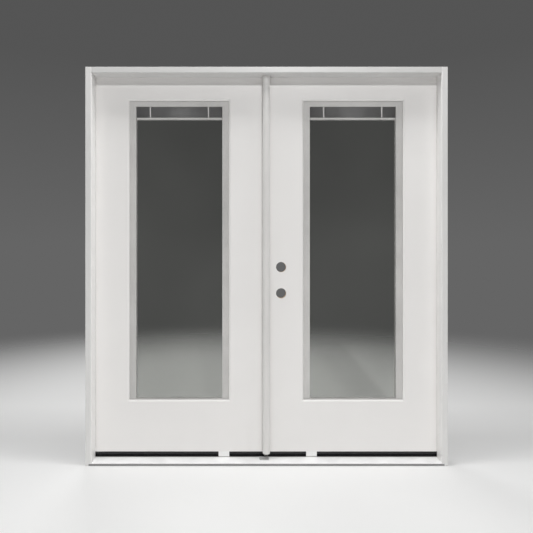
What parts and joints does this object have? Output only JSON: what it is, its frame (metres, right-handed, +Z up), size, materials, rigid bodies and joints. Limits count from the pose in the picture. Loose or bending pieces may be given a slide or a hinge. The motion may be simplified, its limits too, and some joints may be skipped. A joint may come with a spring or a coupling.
{
  "type": "french doors with frame",
  "caption": "White french doors in a rabbeted frame with a low sill: full-lite leaves with raised louvre blinds between the panes, hinged to swing inwards, with an astragal between them.",
  "frame": {"origin": "middle of the sill's underside, at half the jamb's depth", "axes": "+X to the right seen from outside, +Y from outside to inside, +Z up"},
  "size_m": [1.88, 0.1285, 2.07],
  "materials": {
    "frame_paint": "satin white paint on wood",
    "sill_composite": "grey composite",
    "sill_metal": "mill finish",
    "threshold_wood": "grey moulded composite",
    "pad_foam": "grey foam pad",
    "seal_foam": "white foam-filled film",
    "hinge_metal": "satin nickel",
    "door_paint": "smooth white painted skin",
    "stile_wood": "sawn, edge grain",
    "core_foam": "rigid foam",
    "clear_glass": "tempered",
    "track_grey": "satin grey",
    "slat_grey": "satin grey",
    "tape_white": "woven ladder tape",
    "rail_grey": "satin light grey",
    "handle_white": "white moulded",
    "sweep_black": "black vinyl",
    "clip_white": "white moulded",
    "astragal_paint": "white clad, satin",
    "bolt_steel": "zinc plated"
  },
  "bodies": {
    "frame": {"left_jamb": "frame_paint", "right_jamb": "frame_paint", "head_jamb": "frame_paint", "sill_substrate": "sill_composite", "sill_tread": "sill_metal", "threshold_cap": "threshold_wood", "sill_pad": "pad_foam", "left_weatherstrip": "seal_foam", "right_weatherstrip": "seal_foam", "head_weatherstrip": "seal_foam", "left_jamb_hinge_plates": "hinge_metal", "right_jamb_hinge_plates": "hinge_metal", "left_hinge_pins": "hinge_metal", "right_hinge_pins": "hinge_metal"},
    "passive_leaf": {"passive_exterior_skin": "door_paint", "passive_interior_skin": "door_paint", "passive_hinge_stile": "stile_wood", "passive_lock_stile": "stile_wood", "passive_top_rail": "stile_wood", "passive_bottom_rail": "stile_wood", "passive_foam_core": "core_foam", "passive_exterior_glass": "clear_glass", "passive_interior_glass": "clear_glass", "passive_side_tracks": "track_grey", "passive_head_rail": "track_grey", "passive_bottom_spacer": "track_grey", "passive_slats": "slat_grey", "passive_ladder_tapes": "tape_white", "passive_sweep": "sweep_black", "passive_bottom_clip": "clip_white", "passive_leaf_hinge_plates": "hinge_metal", "passive_astragal": "astragal_paint", "passive_astragal_cap": "astragal_paint", "passive_astragal_seal": "seal_foam"},
    "active_leaf": {"active_exterior_skin": "door_paint", "active_interior_skin": "door_paint", "active_hinge_stile": "stile_wood", "active_lock_stile": "stile_wood", "active_top_rail": "stile_wood", "active_bottom_rail": "stile_wood", "active_foam_core": "core_foam", "active_exterior_glass": "clear_glass", "active_interior_glass": "clear_glass", "active_side_tracks": "track_grey", "active_head_rail": "track_grey", "active_bottom_spacer": "track_grey", "active_slats": "slat_grey", "active_ladder_tapes": "tape_white", "active_sweep": "sweep_black", "active_bottom_clip": "clip_white", "active_leaf_hinge_plates": "hinge_metal", "active_lock_block": "stile_wood"},
    "passive_blind": {"passive_blind_rail": "rail_grey"},
    "passive_lift": {"passive_lift_handle": "handle_white"},
    "passive_tilt": {"passive_tilt_handle": "handle_white"},
    "active_blind": {"active_blind_rail": "rail_grey"},
    "active_lift": {"active_lift_handle": "handle_white"},
    "active_tilt": {"active_tilt_handle": "handle_white"},
    "top_bolt": {"passive_top_bolt": "bolt_steel"},
    "bottom_bolt": {"passive_bottom_bolt": "bolt_steel"}
  },
  "joints": [
    {"name": "passive_leaf_swing", "type": "hinge", "parent": "frame", "child": "passive_leaf", "pos_m": [-0.91945, 0.0645, 1], "axis": [0, 0, 1], "range_deg": [0, 165]},
    {"name": "active_leaf_swing", "type": "hinge", "parent": "frame", "child": "active_leaf", "pos_m": [0.91945, 0.0645, 1], "axis": [0, 0, -1], "range_deg": [0, 165]},
    {"name": "passive_blind_lift", "type": "slide", "parent": "passive_leaf", "child": "passive_blind", "axis": [0, 0, 1], "range_m": [-1.485, 0], "deforming": ["passive_slats", "passive_ladder_tapes"]},
    {"name": "passive_lift_slide", "type": "slide", "parent": "passive_leaf", "child": "passive_lift", "axis": [0, 0, 1], "range_m": [0, 1.485]},
    {"name": "passive_tilt_slide", "type": "slide", "parent": "passive_leaf", "child": "passive_tilt", "axis": [0, 0, 1], "range_m": [-0.05, 0.05]},
    {"name": "active_blind_lift", "type": "slide", "parent": "active_leaf", "child": "active_blind", "axis": [0, 0, 1], "range_m": [-1.485, 0], "deforming": ["active_slats", "active_ladder_tapes"]},
    {"name": "active_lift_slide", "type": "slide", "parent": "active_leaf", "child": "active_lift", "axis": [0, 0, 1], "range_m": [0, 1.485]},
    {"name": "active_tilt_slide", "type": "slide", "parent": "active_leaf", "child": "active_tilt", "axis": [0, 0, 1], "range_m": [-0.05, 0.05]},
    {"name": "top_bolt_slide", "type": "slide", "parent": "passive_leaf", "child": "top_bolt", "axis": [0, 0, 1], "range_m": [0, 0.016]},
    {"name": "bottom_bolt_slide", "type": "slide", "parent": "passive_leaf", "child": "bottom_bolt", "axis": [0, 0, -1], "range_m": [0, 0.037]}
  ],
  "couplings": [
    {"joint": "passive_lift_slide", "follows": "passive_blind_lift", "ratio": -1},
    {"joint": "active_lift_slide", "follows": "active_blind_lift", "ratio": -1}
  ]
}
